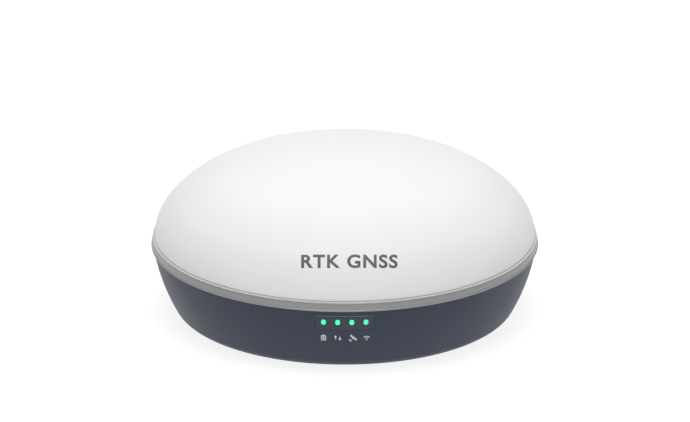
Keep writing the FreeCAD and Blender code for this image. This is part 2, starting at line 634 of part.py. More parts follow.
def make_pole_insert():
    blank = revolved("insert_turned", [
        ("bore_radius + bore_chamfer", "0"),
        ("flange_radius", "0"),
        ("flange_radius", "flange_top"),
        ("spigot_radius", "flange_top"),
        ("spigot_radius", "spigot_top"),
        ("0", "spigot_top"),
        ("0", "bore_depth"),
        ("bore_radius", "bore_depth"),
        ("bore_radius", "bore_chamfer"),
    ])
    seat = fuse("flange_hole",
                rod("flange_head_cut", "flange_screw_head + 0.1", ("-1", "flange_screw_seat")),
                rod("flange_shank_cut", "case_screw + 0.1", ("-1", "flange_top + 1")))
    seats = copies("flange_holes", seat, circle_spots("flange_screw_circle", DIAGONALS))
    node(cut("pole_insert", blank, seats))
    screw = hex_screw("flange_screw", "case_screw", "flange_screw_head", "flange_screw_base",
                      "flange_screw_seat", "flange_screw_tip")
    node(copies("insert_screws", screw, circle_spots("flange_screw_circle", DIAGONALS)))
    node(ring("insert_seal", "insert_seal_radius", "insert_seal_cord", "0", "insert_seal_z"))


def make_underside():
    foot = fuse("foot_one", cone("foot_bevel", "foot_edge", "foot_pad", ("0", "foot_bevel")),
                rod("foot_body", "foot_pad", ("foot_bevel", "foot_top")))
    node(copies("rubber_feet", foot, square_spots("foot_spot", "foot_spot")))
    plug = fuse("vent_blank", rod("vent_disc", "vent_head", ("base_z", "vent_seat")),
                rod("vent_stem", "vent_stem", ("base_z", "vent_top")),
                rod("vent_lip", "vent_lip", ("floor_z + 0.05", "floor_z + 0.8")))
    slit = block("vent_slit", about("vent_slit"), about("vent_head"), ("base_z - 1", "base_z + 0.4"))
    other = block("vent_cross", about("vent_head"), about("vent_slit"), ("base_z - 1", "base_z + 0.4"))
    node(copies("vent_plug", cut("vent_one", plug, slit, other), [("vent_across", "vent_along", "0")]))
    node(block("rating_label", about("label_length"), about("label_width", "label_spot"),
               ("label_face", "base_z")))


# Front status panel.

def make_panel(panel_core):
    outside = bowl_solid("panel_skin", "0")
    plate = cut("panel_plate", panel_block("panel_plate_box", "panel_gap"), panel_core)
    hole = oval("window_hole", "pipe_radius + pipe_gap", ("-dome_radius - wall", "pipe_bar_back"))
    holes = copies("window_holes", hole, lamp_spots())
    node(cut("status_window", common("panel_shell", plate, outside), holes))
    pipe = oval("pipe", "pipe_radius", ("-dome_radius - wall", "pipe_bar_back"))
    pipes = common("pipes_trimmed", copies("pipes", pipe, lamp_spots()), outside)
    bar = block("pipe_bar", about("pipe_bar_half * 2"), ("pipe_bar_front", "pipe_bar_back"),
                ("pipe_bar_low", "pipe_bar_high"))
    node(fuse("light_pipe", pipes, bar))
    lamp = block("lamp", about("lamp_half * 2"), ("led_board_front - 0.9", "led_board_front"),
                 about("lamp_half * 2", "lamp_z"))
    node(copies("leds", lamp, lamp_spots()))


def make_led_board():
    spots = [("-led_post_spot", "0", "0"), ("led_post_spot", "0", "0")]
    plate = block("led_plate", about("led_board_half * 2"), ("led_board_front", "led_board_back"),
                  ("led_board_low", "led_board_high"))
    hole = rod("led_hole", "led_screw + 0.1", "led_post_z", y=("led_board_front - 1", "led_board_back + 1"),
               axis="y")
    node(cut("led_board", plate, copies("led_holes", hole, spots)))
    head = rod("led_head", "led_screw_head", "led_post_z", y=("led_board_back", "led_screw_back"), axis="y")
    shank = rod("led_shank", "led_screw", "led_post_z", y=("led_screw_tip", "led_board_back"), axis="y")
    node(copies("led_board_screws", fuse("led_screw_one", head, shank), spots))


# Rear ports.

def make_port_cover():
    outside = bowl_solid("cover_skin", "0")
    knuckle = rod("knuckle", "knuckle_radius", "hinge_z", about("cover_half * 2 - cover_gap * 2"),
                  "hinge_back", axis="x")
    leaf = cover_block("cover_leaf", "-cover_gap", "0.15")
    shell = common("cover_shell", fuse("cover_blank", leaf, knuckle), outside)
    bore = rod("cover_bore", "hinge_pin + hinge_run", "hinge_z", about("cover_half * 2 + 2"), "hinge_back",
               axis="x")
    node(cut("port_cover", shell, bore))
    node(rod("port_hinge_pin", "hinge_pin", "hinge_z", about("pin_half * 2"), "hinge_back", axis="x"))


def make_sockets():
    usb_z = ("io_high", "io_high + usb_height")
    middle = "io_high + usb_height / 2"
    shell = block("usb_body", about("usb_width", "usb_spot"), ("usb_back", "usb_front"), usb_z)
    cavity = block("usb_cavity", about("usb_width - usb_skin * 2", "usb_spot"),
                   ("usb_back + 1", "usb_front + 1"),
                   about("usb_height - usb_skin * 2", middle))
    tongue = block("usb_tongue", about("usb_tongue_half * 2", "usb_spot"), ("usb_back", "usb_front - 0.8"),
                   about("usb_tongue_thick", middle))
    node(fuse("usb_socket", cut("usb_shell", shell, cavity), tongue))
    cage = block("card_body", about("card_width", "card_spot"), ("card_back", "card_front"),
                 ("io_high", "io_high + card_height"))
    slot = block("card_slot", about("card_slot_width", "card_spot"), ("card_back + 2.5", "card_front + 1"),
                 about("card_slot_height", "io_high + card_height / 2"))
    node(cut("sim_socket", cage, slot))
    plate = block("io_plate", about("io_half * 2"), ("io_near", "io_far"), ("io_low", "io_high"))
    hole = rod("io_hole", "peg_tip + 0.05", ("io_low - 1", "io_high + 1"))
    holes = copies("io_holes", hole, [(f"{i} * peg_across", spot, "0") for i in (-1, 1)
                                      for spot in ("peg_near", "peg_far")])
    node(cut("io_board", plate, holes))


# Power button on the rear right.

def make_power_button():
    cap = fuse("button_blank",
               rod("button_cap", "button_radius", "button_z", y=("button_back - 0.5", "button_face"),
                   axis="y"),
               rod("button_flange", "button_flange", "button_z", y=("button_flange_back", "button_back"),
                   axis="y"),
               rod("button_stem", "button_stem", "button_z", y=("button_stem_tip", "button_flange_back"),
                   axis="y"))
    dish = rod("button_dish", "dish_radius", "button_z", y=("button_face - button_dish", "button_face + 1"),
               axis="y")
    node(turned(cut("power_button", cap, dish)))
    seal = ring("button_ring", "button_seal_ring", "button_seal_cord", "button_seal_spot", "button_z",
                axis="y")
    node(turned(group("button_seal", seal)))
    plunger = rod("plunger", "plunger_radius", "button_z", y=("plunger_tip", "button_stem_tip"), axis="y")
    node(turned(group("switch_plunger", plunger)))
    body = block("switch_body", about("switch_half * 2"), ("switch_board_front", "switch_front"),
                 about("switch_half * 2", "button_z"))
    bore = rod("switch_bore", "switch_bore", "button_z", y=("switch_bore_floor", "switch_front + 1"),
               axis="y")
    node(turned(cut("power_switch", body, bore)))
    board = block("switch_plate", about("switch_board_half * 2"),
                  ("switch_board_back", "switch_board_front"),
                  ("switch_board_low", "switch_board_high"))
    node(turned(group("switch_board", board)))


# Whip socket under the bowl.

def make_radio_jack():
    outer = fuse("jack_blank",
                 rod("jack_sleeve", "jack_radius", ("jack_mouth", "jack_flange_base"), y="jack_spot"),
                 rod("jack_flange", "jack_flange", ("jack_flange_base", "jack_pocket_top"), y="jack_spot"),
                 rod("jack_neck", "jack_neck", ("jack_pocket_top", "jack_neck_top"), y="jack_spot"),
                 rod("jack_tail", "jack_tail", ("jack_neck_top", "jack_tail_top"), y="jack_spot"))
    cavity = rod("jack_cavity", "jack_cavity", ("jack_mouth - 1", "jack_cavity_top"), y="jack_spot")
    contact = rod("jack_contact", "jack_contact", ("jack_contact_tip", "jack_cavity_top"), y="jack_spot")
    node(fuse("radio_jack", cut("jack_shell", outer, cavity), contact))
    nut = prism("nut_blank", "nut_corner", ("jack_ceiling", "nut_top"), y="jack_spot")
    bore = rod("nut_bore", "jack_neck + fit_gap", ("jack_ceiling - 1", "nut_top + 1"), y="jack_spot")
    node(cut("jack_nut", nut, bore))


# Battery.

def make_cells():
    for side, sign in (("left", "-"), ("right", "")):
        spot = f"{sign}cell_spot"
        can = rod(f"cell_can_{side}", "cell_radius", "cell_z", spot,
                  ("-cell_half", "cell_half - cell_cap_high"),
                  "y")
        cap = rod(f"cell_cap_{side}", "cell_cap", "cell_z", spot, ("cell_half - cell_cap_high", "cell_half"),
                  "y")
        node(fuse(f"battery_cell_{side}", can, cap))


def make_cradle():
    tray = block("cradle_blank", about("cradle_half * 2"), about("cradle_depth * 2"),
                 ("floor_z", "cradle_top"))
    window = block("cradle_window", about("cradle_window * 2"), about("cradle_window_half * 2"),
                   ("floor_z - 1", "cradle_top + 1"))
    trough = rod("cradle_trough", "cell_radius + cradle_gap", "cell_z",
                 y=about("cell_half * 2 + cradle_end * 2"), axis="y")
    troughs = copies("cradle_troughs", trough, [("-cell_spot", "0", "0"), ("cell_spot", "0", "0")])
    node(cut("battery_cradle", tray, window, troughs))
    tab = block("tab", about("tab_half * 2"), ("-cell_half - tab_thick", "-cell_half"),
                ("tab_low", "tab_high"))
    pair = copies("tab_pair", tab, [("-cell_spot", "0", "0"), ("cell_spot", "0", "0")])
    strip = block("tab_strip", about("cell_spot * 2 + tab_half * 2"), ("cell_half", "cell_half + tab_thick"),
                  ("cradle_top + 1", "tab_high"))
    node(group("battery_tabs", pair, strip))


def make_clamp():
    bars = [block("clamp_bridge", about("clamp_half * 2"), about("clamp_depth * 2"),
                  ("clamp_low", "clamp_high"))]
    thick = "small_board_thick"
    for side in (-1, 1):
        leg = ("clamp_half - " + thick, "clamp_half")
        foot = ("clamp_half - " + thick, "clamp_foot")
        if side < 0:
            leg = ("-clamp_half", "-clamp_half + " + thick)
            foot = ("-clamp_foot", "-clamp_half + " + thick)
        bars.append(block(f"clamp_leg{side + 2}", leg, about("clamp_depth * 2"),
                          ("clamp_foot_low", "clamp_high")))
        bars.append(block(f"clamp_foot{side + 2}", foot, about("clamp_depth * 2"),
                          ("clamp_foot_low", f"clamp_foot_low + {thick}")))
    spots = [("-clamp_screw_spot", "0", "0"), ("clamp_screw_spot", "0", "0")]
    hole = rod("clamp_hole", "small_screw + 0.1", ("clamp_foot_low - 1", f"clamp_foot_low + {thick} + 1"))
    node(cut("battery_clamp", fuse("clamp_blank", *bars), copies("clamp_holes", hole, spots)))
    seat = f"clamp_foot_low + {thick}"
    screw = hex_screw("clamp_screw", "small_screw", "clamp_head", f"{seat} + clamp_head_high", seat,
                      "clamp_tip",
                      up=False)
    node(copies("battery_clamp_screws", screw, spots))


# Boards and the modules on them.

def make_stack():
    spots = square_spots("stack_across", "stack_along")
    lower = cut("standoff_low", fuse("standoff_low_blank", prism("standoff_low_hex", "hex_corner",
                                                                 ("stack_boss_top", "main_low")),
                                     rod("standoff_low_stud", "small_screw",
                                         ("stud_tip", "stack_boss_top"))),
                rod("standoff_low_bore", "small_screw + fit_gap", ("standoff_bore", "main_low + 1")))
    node(copies("board_standoffs", lower, spots))
    top = "main_low + board_thick"
    upper = cut("standoff_high", fuse("standoff_high_blank", prism("standoff_high_hex", "hex_corner",
                                                                   (top, "plate_low")),
                                      rod("standoff_high_stud", "small_screw", ("plate_stud_tip", top))),
                rod("standoff_high_bore", "small_screw + fit_gap", ("plate_bore", "plate_low + 1")))
    node(copies("plate_standoffs", upper, spots))
    disc = rod("main_disc", "main_radius", ("main_low", top))
    hole = rod("main_hole", "board_hole", ("main_low - 1", f"{top} + 1"))
    pass_hole = rod("main_pass", "cable_hole", ("main_low - 1", f"{top} + 1"), y="jack_spot")
    node(cut("main_board", disc, copies("main_holes", hole, spots), pass_hole))


def make_shield():
    spots = square_spots("stack_across", "stack_along")
    posts = square_spots("antenna_post_spot", "antenna_post_spot")
    disc = rod("shield_disc", "main_radius", ("plate_low", "plate_high"))
    hole = rod("shield_hole", "board_hole", ("plate_low - 1", "plate_high + 1"))
    stud_hole = rod("shield_stud_hole", "antenna_stud + fit_gap", ("plate_low - 1", "plate_high + 1"))
    node(cut("shield_plate", disc, copies("shield_holes", hole, spots),
             copies("shield_stud_holes", stud_hole, posts)))
    screw = hex_screw("shield_screw", "small_screw", "plate_screw_head",
                      "plate_high + plate_screw_head_high",
                      "plate_high", "plate_screw_tip", up=False)
    node(copies("shield_plate_screws", screw, spots))
    post = cut("antenna_post_one", fuse("antenna_post_blank",
                                        rod("antenna_post", "antenna_post", ("plate_high", "ground_low")),
                                        rod("antenna_stud", "antenna_stud", ("plate_low", "plate_high"))),
               rod("antenna_bore", "fine_screw + fit_gap", ("antenna_bore", "ground_low + 1")))
    node(copies("antenna_posts", post, posts))


def make_antenna():
    posts = square_spots("antenna_post_spot", "antenna_post_spot")
    hole = rod("ground_hole", "fine_screw + 0.1", ("ground_low - 1", "ground_high + 1"))
    disc = rod("ground_disc", "ground_radius", ("ground_low", "ground_high"))
    node(cut("antenna_ground_plane", disc, copies("ground_holes", hole, posts)))
    screw = hex_screw("ground_screw", "fine_screw", "ground_screw_head",
                      "ground_high + ground_screw_head_high",
                      "ground_high", "ground_screw_tip", up=False)
    node(copies("ground_plane_screws", screw, posts))
    node(rod("lower_patch", "lower_patch_radius", ("ground_high", "lower_patch_top")))
    low_foil = ("lower_patch_top", "lower_patch_top + foil_thick")
    node(rod("upper_patch", "upper_patch_radius", (low_foil[1], "upper_patch_top")))
    high_foil = ("upper_patch_top", "upper_patch_top + foil_thick")
    node(group("patch_foils", rod("lower_foil", "lower_foil_radius", low_foil),
               rod("upper_foil", "upper_foil_radius", high_foil)))
    can = block("lna_blank", about("lna_half * 2"), about("lna_depth * 2"), ("lna_low", "ground_low"))
    hollow = block("lna_hollow", about("lna_half * 2 - can_skin * 2"), about("lna_depth * 2 - can_skin * 2"),
                   ("lna_low + can_skin", "ground_low + 1"))
    node(cut("lna_shield", can, hollow))


def make_modules():
    top = "main_low + board_thick"
    node(block("gnss_module", about("gnss_half * 2"), about("gnss_depth * 2"), ("gnss_low", "gnss_high")))
    can = block("gnss_can", about("gnss_can_half * 2"), about("gnss_can_depth * 2"),
                ("gnss_high", "gnss_can_high"))
    hollow = block("gnss_hollow", about("gnss_can_half * 2 - can_skin * 2"),
                   about("gnss_can_depth * 2 - can_skin * 2"), ("gnss_high - 1", "gnss_can_high - can_skin"))
    node(cut("gnss_shield", can, hollow))
    node(block("radio_module", ("radio_out", "radio_in"), about("radio_depth * 2"), (top, "radio_high")))
    node(block("cellular_module", ("cell_modem_in", "cell_modem_out"), ("cell_modem_near", "cell_modem_far"),
               (top, "cell_modem_high")))
    node(block("bluetooth_module", ("short_range_in", "short_range_out"),
               ("short_range_near", "short_range_far"),
               (top, "chip_high")))
    node(block("tilt_sensor", ("tilt_out", "tilt_in"), ("tilt_near", "tilt_far"), (top, "chip_high")))


def make_strips():
    """Two printed antennas stuck inside the housing's rim, left and right."""
    strips = []
    for number, middle in enumerate((0, 180), start=1):
        outer = rod(f"strip_outer{number}", "strip_outer", ("strip_low", "strip_high"))
        bind(outer, "Angle", "strip_span")
        bind(outer, "Placement.Rotation.Angle", f"{middle} - strip_span / 2")
        core = rod(f"strip_core{number}", "strip_inner", ("strip_low - 1", "strip_high + 1"))
        strips.append(cut(f"strip{number}", outer, core))
    node(group("wireless_antennas", *strips))


def make_connectors():
    top = "main_low + board_thick"
    under = ("plug_low", "main_low")
    io = "io_plug_spot"
    battery = block("battery_plug", about("coax_plug_half * 2"), about("coax_plug_half * 2", "lead_spot"),
                    under)
    header = block("gnss_header", about("gnss_half * 2 - 2"), about("plug_depth * 2"), (top, "gnss_low"))
    node(group(
        "board_connectors",
        copies("battery_plugs", battery, [("-cell_spot", "0", "0"), ("cell_spot", "0", "0")]),
        copies("gnss_headers", header,
               [("0", f"{i} * (gnss_depth - plug_depth * 2)", "0") for i in (-1, 1)]),
        block("io_plug_low", about("plug_half * 2"), about("plug_depth * 2", io),
              ("io_high", "io_plug_high")),
        block("io_plug_high", about("plug_half * 2"), about("plug_depth * 2", io), under),
        block("led_plug", about("plug_half * 2", "led_plug_spot"), ("led_board_back", "led_plug_back"),
              ("led_plug_low", "led_plug_high")),
        block("led_plug_high", about("plug_half * 2", "led_plug_spot"),
              about("plug_depth * 2", "ribbon_spot"),
              under),
        block("radio_plug", about("coax_plug_half * 2"), ("radio_end", "radio_end + coax_plug_half * 2"),
              (top, "radio_run + coax_radius + 0.6")),
        block("antenna_plug", about("coax_plug_half * 2"), ("coax_start - coax_plug_half * 2", "coax_start"),
              ("coax_high - coax_radius - 0.6", "ground_low")),
        block("gnss_plug", about("coax_plug_half * 2"), ("gnss_can_depth + 0.5", "coax_end"),
              ("gnss_high", "coax_low + coax_radius + 0.6"))))


# Cables held inside the case: straight runs joined by tangent arcs.

def route(points, bend):
    """A wire through the points, each inner corner rounded to the bend radius; and its length."""
    places = [Vector(*[size_of(value) for value in point]) for point in points]
    radius = size_of(bend) if len(points) > 2 else 0
    edges = []
    here = places[0]
    for before, corner, after in zip(places, places[1:], places[2:]):
        back = (before - corner).normalize()
        ahead = (after - corner).normalize()
        turn = math.pi - back.getAngle(ahead)
        reach = radius * math.tan(turn / 2)
        start, finish = corner + back * reach, corner + ahead * reach
        bisector = (back + ahead).normalize()
        middle = corner + bisector * (radius / math.cos(turn / 2) - radius)
        edges.append(Part.LineSegment(here, start).toShape())
        edges.append(Part.Arc(start, middle, finish).toShape())
        here = finish
    edges.append(Part.LineSegment(here, places[-1]).toShape())
    return Part.Wire(edges), sum(edge.Length for edge in edges)


def swept(section, area, path, length):
    solid = path.makePipeShell([section], True, True)
    assert abs(solid.Volume - area * length) < 0.02 * area * length, "a cable's volume is wrong"
    return solid


def tube(points, bend, radius):
    path, length = route(points, bend)
    start = path.Edges[0]
    circle = Part.Circle(start.valueAt(start.FirstParameter), start.tangentAt(start.FirstParameter),
                         size_of(radius))
    return swept(Part.Wire(circle.toShape()), math.pi * size_of(radius) ** 2, path, length)


def placed_shape(name, shape):
    item = DOC.addObject("Part::Feature", name)
    item.Shape = shape
    item.Placement = FreeCAD.Placement()
    return node(item)


def make_cables():
    placed_shape("antenna_cable", tube(
        [("0", "coax_start", "coax_high"), ("0", "coax_reach", "coax_high"), ("0", "coax_reach", "coax_low"),
         ("0", "coax_end", "coax_low")], "coax_bend", "coax_radius"))
    placed_shape("radio_cable", tube(
        [("0", "jack_spot", "jack_tail_top"), ("0", "jack_spot", "radio_run"),
         ("0", "radio_end", "radio_run")],
        "radio_bend", "coax_radius"))
    leads = [tube([(f"{i} * cell_spot", "-cell_half - tab_thick", "lead_z"),
                   (f"{i} * cell_spot", "lead_spot", "lead_z"),
                   (f"{i} * cell_spot", "lead_spot", "plug_low")], "lead_bend", "lead_radius")
             for i in (-1, 1)]
    placed_shape("battery_lead", Part.Compound(leads))


def make_ribbons():
    path, length = route([("led_plug_spot", "led_plug_back", "ribbon_z"),
                          ("led_plug_spot", "ribbon_spot", "ribbon_z"),
                          ("led_plug_spot", "ribbon_spot", "plug_low")], "ribbon_bend")
    half, thick = size_of("ribbon_width") / 2, size_of("ribbon_thick") / 2
    origin = path.Edges[0].valueAt(path.Edges[0].FirstParameter)
    corners = [origin + Vector(i * half, 0, j * thick)
               for i, j in ((-1, -1), (1, -1), (1, 1), (-1, 1), (-1, -1))]
    placed_shape("led_ribbon", swept(Part.makePolygon(corners), half * thick * 4, path, length))
    node(block("io_ribbon", about("ribbon_width"), about("ribbon_thick", "io_plug_spot"),
               ("io_plug_high", "plug_low")))


def export_nodes():
    DOC.recompute()
    for item in DOC.Objects:
        if "Invalid" in item.State or "Error" in item.State:
            raise RuntimeError(f"{item.Label} failed to recompute")
    os.makedirs("parts", exist_ok=True)
    for item in NODES:
        shape = item.Shape
        if shape.isNull() or not shape.isValid() or not shape.Solids:
            raise RuntimeError(f"{item.Label} has no valid solid")
        shape.exportStep(f"parts/{item.Label}.step")


fill_sheet()
make_radome()
make_band()
panel_core = bowl_solid("panel_core", "panel_depth")
make_housing(panel_core)
make_case_fasteners()
make_pole_insert()
make_underside()
make_panel(panel_core)
make_led_board()
make_port_cover()
make_sockets()
make_power_button()
make_radio_jack()
make_cells()
make_cradle()
make_clamp()
make_stack()
make_shield()
make_antenna()
make_modules()
make_strips()
make_connectors()
make_cables()
make_ribbons()
export_nodes()
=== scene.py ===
import json
import math
from collections import namedtuple

import bmesh
import bpy
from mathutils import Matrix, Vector
from mathutils.bvhtree import BVHTree


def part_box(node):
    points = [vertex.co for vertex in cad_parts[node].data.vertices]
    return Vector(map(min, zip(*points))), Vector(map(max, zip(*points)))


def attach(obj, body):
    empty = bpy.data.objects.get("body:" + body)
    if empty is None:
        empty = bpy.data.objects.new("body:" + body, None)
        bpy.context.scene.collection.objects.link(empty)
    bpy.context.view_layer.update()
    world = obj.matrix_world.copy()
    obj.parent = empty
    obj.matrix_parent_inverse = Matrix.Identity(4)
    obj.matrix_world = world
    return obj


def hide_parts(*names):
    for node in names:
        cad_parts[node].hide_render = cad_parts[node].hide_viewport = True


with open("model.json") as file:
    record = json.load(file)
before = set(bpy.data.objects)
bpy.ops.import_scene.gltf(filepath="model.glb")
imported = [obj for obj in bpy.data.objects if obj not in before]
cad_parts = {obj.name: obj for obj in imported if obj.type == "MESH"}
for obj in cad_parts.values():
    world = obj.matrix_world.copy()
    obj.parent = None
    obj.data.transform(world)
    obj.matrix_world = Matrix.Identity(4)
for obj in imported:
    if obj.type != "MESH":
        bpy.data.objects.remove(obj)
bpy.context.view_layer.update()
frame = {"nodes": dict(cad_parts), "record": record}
MM = 0.001

# ---------------------------------------------------------------------------------------------
# Materials
# ---------------------------------------------------------------------------------------------

LAMP_GREEN = (0.065, 1.0, 0.45)

# One finish for each material slot of the record, then three for the printed pieces. The grain is the
# size of the fine noise and the bump is the depth of its relief, both in mm. The colour strays from its
# value by the share that vary gives.
FINISHES = {
    "radome_plastic": dict(color=(0.80, 0.80, 0.815), rough=0.45, shine=0.12,
                           grain=0.35, bump=0.004, vary=0.010),
    "band_plastic": dict(color=(0.27, 0.27, 0.27), rough=0.34, shine=0.8,
                         grain=0.30, bump=0.003, vary=0.03),
    "bowl_plastic": dict(color=(0.024, 0.033, 0.061), rough=0.50, shine=0.40,
                         grain=0.45, bump=0.012, vary=0.06),
    "seal_rubber": dict(color=(0.020, 0.020, 0.021), rough=0.70, grain=0.60, bump=0.010, vary=0.10),
    "cover_rubber": dict(color=(0.032, 0.036, 0.044), rough=0.62, grain=0.35, bump=0.010, vary=0.10),
    "brass": dict(color=(0.70, 0.50, 0.22), rough=0.28, metal=1.0, grain=0.25, bump=0.004, vary=0.06),
    "screw_steel": dict(color=(0.56, 0.56, 0.57), rough=0.30, metal=1.0, grain=0.20, bump=0.003, vary=0.05),
    "panel_film": dict(color=(0.018, 0.032, 0.052), rough=0.46, grain=0.50, bump=0.003, vary=0.05),
    "clear_plastic": dict(color=(0.055, 0.90, 0.40), rough=0.25, grain=0.50, bump=0.001, vary=0.03,
                          glow=LAMP_GREEN, glow_strength=0.55),
    "lamp": dict(color=(0.10, 0.85, 0.40), rough=0.35, grain=0.30, bump=0.001, vary=0.03,
                 glow=LAMP_GREEN, glow_strength=1.0),
    "circuit_board": dict(color=(0.012, 0.13, 0.055), rough=0.35, grain=1.40, bump=0.004, vary=0.18),
    "chip_plastic": dict(color=(0.025, 0.025, 0.027), rough=0.55, grain=0.30, bump=0.004, vary=0.10),
    "shield_tin": dict(color=(0.62, 0.62, 0.60), rough=0.34, metal=1.0, grain=0.80, bump=0.004, vary=0.06),
    "plate_aluminium": dict(color=(0.66, 0.67, 0.68), rough=0.36, metal=1.0,
                            grain=0.40, bump=0.004, vary=0.05),
    "patch_ceramic": dict(color=(0.60, 0.55, 0.46), rough=0.55, grain=0.50, bump=0.006, vary=0.06),
    "foil": dict(color=(0.83, 0.58, 0.24), rough=0.25, metal=1.0, grain=0.50, bump=0.002, vary=0.05),
    "cell_wrap": dict(color=(0.02, 0.10, 0.28), rough=0.30, grain=2.50, bump=0.010, vary=0.06),
    "cradle_plastic": dict(color=(0.030, 0.030, 0.032), rough=0.52, grain=0.60, bump=0.008, vary=0.08),
    "cable_jacket": dict(color=(0.018, 0.018, 0.019), rough=0.50, grain=0.60, bump=0.006, vary=0.10),
    "ribbon_film": dict(color=(0.52, 0.47, 0.34), rough=0.42, grain=1.00, bump=0.004, vary=0.06),
    "label_film": dict(color=(0.36, 0.37, 0.39), rough=0.45, grain=0.60, bump=0.003, vary=0.04),
    # Painted highlight: the light colour of the thin lip along the top of the status panel.
    "panel_highlight_paint": dict(color=(0.165, 0.176, 0.210), rough=0.45, grain=0.40, bump=0.002, vary=0.05),
    "print_dark": dict(color=(0.095, 0.093, 0.096), rough=0.55, grain=0.40, bump=0.002, vary=0.05),
    "print_light": dict(color=(0.74, 0.74, 0.75), rough=0.55, grain=0.40, bump=0.002, vary=0.05),
}

# The broad noise has about 45 patches to the metre. The two noises mix in these shares.
BROAD_SCALE = 45.0
BROAD_SHARE = 0.4
FINE_SHARE = 0.6
ROUGH_SPREAD = 0.05
LEAST_ROUGH = 0.02

# The lip that closes the radome over the band is white radome plastic, painted light grey up to just above
# its edge, in mm: painted shade that dims its ledge and edge.
SHADED_LIP_TOP = 32.60
LIP_SHADE_COLOR = (0.58, 0.58, 0.585)


def add_node(tree, kind, values=None, **settings):
    """A shader node with its settings, and then the values of its sockets by name or number."""
    node = tree.nodes.new(kind)
    for name, value in settings.items():
        setattr(node, name, value)
    for socket, value in (values or {}).items():
        node.inputs[socket].default_value = value
    return node


def make_finish(name, color, rough, grain, bump, vary, metal=0.0, shine=0.5, glow=None, glow_strength=0.0):
    """A finish whose colour, roughness and relief vary with two scales of noise."""
    material = bpy.data.materials.new(name)
    material.use_nodes = True
    tree = material.node_tree
    link = tree.links.new
    shader = tree.nodes["Principled BSDF"]
    shader.inputs["Metallic"].default_value = metal
    shader.inputs["Specular IOR Level"].default_value = shine
    place = add_node(tree, "ShaderNodeTexCoord")
    fine = add_node(tree, "ShaderNodeTexNoise", {"Scale": 1.0 / (grain * MM), "Detail": 3.0})
    broad = add_node(tree, "ShaderNodeTexNoise", {"Scale": BROAD_SCALE, "Detail": 4.0})
    for noise in (fine, broad):
        link(place.outputs["Object"], noise.inputs["Vector"])
    darker = [c * (1 - vary) for c in color] + [1.0]
    lighter = [min(1.0, c * (1 + vary)) for c in color] + [1.0]
    tint = add_node(tree, "ShaderNodeMix", {"A": darker, "B": lighter}, data_type="RGBA")
    mixed = add_node(tree, "ShaderNodeMath", {1: FINE_SHARE}, operation="MULTIPLY_ADD")
    broad_part = add_node(tree, "ShaderNodeMath", {1: BROAD_SHARE}, operation="MULTIPLY")
    link(broad.outputs["Fac"], broad_part.inputs[0])
    link(fine.outputs["Fac"], mixed.inputs[0])
    link(broad_part.outputs[0], mixed.inputs[2])
    link(mixed.outputs[0], tint.inputs["Factor"])
    link(tint.outputs["Result"], shader.inputs["Base Color"])
    dull = add_node(tree, "ShaderNodeMapRange", {"To Min": max(LEAST_ROUGH, rough - ROUGH_SPREAD),
                                                 "To Max": rough + ROUGH_SPREAD})
    link(broad.outputs["Fac"], dull.inputs["Value"])
    link(dull.outputs["Result"], shader.inputs["Roughness"])
    relief = add_node(tree, "ShaderNodeBump", {"Strength": 1.0, "Distance": bump * MM})
    link(fine.outputs["Fac"], relief.inputs["Height"])
    link(relief.outputs["Normal"], shader.inputs["Normal"])
    if glow:
        shader.inputs["Emission Color"].default_value = (*glow, 1.0)
        shader.inputs["Emission Strength"].default_value = glow_strength
    return material


def paint_shade_below(material, height, color):
    """Everything of a finish below a height, in mm, takes another colour: used here for painted shade on the
    radome's lip.
    """
    tree = material.node_tree
    link = tree.links.new
    base = tree.nodes["Principled BSDF"].inputs["Base Color"]
    above = base.links[0].from_socket
    place = add_node(tree, "ShaderNodeTexCoord")
    parts = add_node(tree, "ShaderNodeSeparateXYZ")
    edge = add_node(tree, "ShaderNodeMath", {1: height * MM}, operation="LESS_THAN")
    tint = add_node(tree, "ShaderNodeMix", {"B": (*color, 1.0)}, data_type="RGBA")
    link(place.outputs["Object"], parts.inputs[0])
    link(parts.outputs["Z"], edge.inputs[0])
    link(edge.outputs[0], tint.inputs["Factor"])
    link(above, tint.inputs["A"])
    link(tint.outputs["Result"], base)


MATERIALS = {name: make_finish(name, **finish) for name, finish in FINISHES.items()}
# Painted shade: the radome's white lip is darkened to light grey.
paint_shade_below(MATERIALS["radome_plastic"], SHADED_LIP_TOP, LIP_SHADE_COLOR)


def dress_nodes():
    """Every CAD node takes its slot's finish."""
    for part in frame["record"]["subparts"]:
        mesh = frame["nodes"][part["node"]].data
        mesh.materials.clear()
        mesh.materials.append(MATERIALS[part["material_slot"]])


# ---------------------------------------------------------------------------------------------
# Building pieces
# ---------------------------------------------------------------------------------------------

CRISP_ANGLE = math.radians(35.0)


def new_piece(name, mesh, material, body="receiver"):
    piece = bpy.data.objects.new(name, mesh)
    bpy.context.scene.collection.objects.link(piece)
    mesh.materials.clear()
    mesh.materials.append(MATERIALS[material])
    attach(piece, body)
    return piece


def evaluated_mesh(holder):
    """An object's mesh with its curves filled and its modifiers applied."""
    bpy.context.view_layer.update()
    return bpy.data.meshes.new_from_object(holder.evaluated_get(bpy.context.evaluated_depsgraph_get()))


def smooth_by_angle(mesh):
    """Smooth shading, with every edge sharper than the crisp angle kept crisp."""
    work = bmesh.new()
    work.from_mesh(mesh)
    for face in work.faces:
        face.smooth = True
    for edge in work.edges:
        edge.smooth = len(edge.link_faces) == 2 and edge.calc_face_angle(0.0) < CRISP_ANGLE
    work.to_mesh(mesh)
    work.free()


# ---------------------------------------------------------------------------------------------
# Turned pieces, whose sections are lists of (radius, height) in mm
# ---------------------------------------------------------------------------------------------

# A side of 1 cuts the thread outwards into a bore, and a side of -1 cuts it inwards into a barrel.
Thread = namedtuple("Thread", "pitch depth low high side")
THREADED = True

# A groove is as deep as it gets over its middle, and its flanks rise from there. At each end of the
# thread it fades out over part of a turn.
GROOVE_START = 1.55
GROOVE_SLOPE = 2.1
FADE_TURNS = 0.8


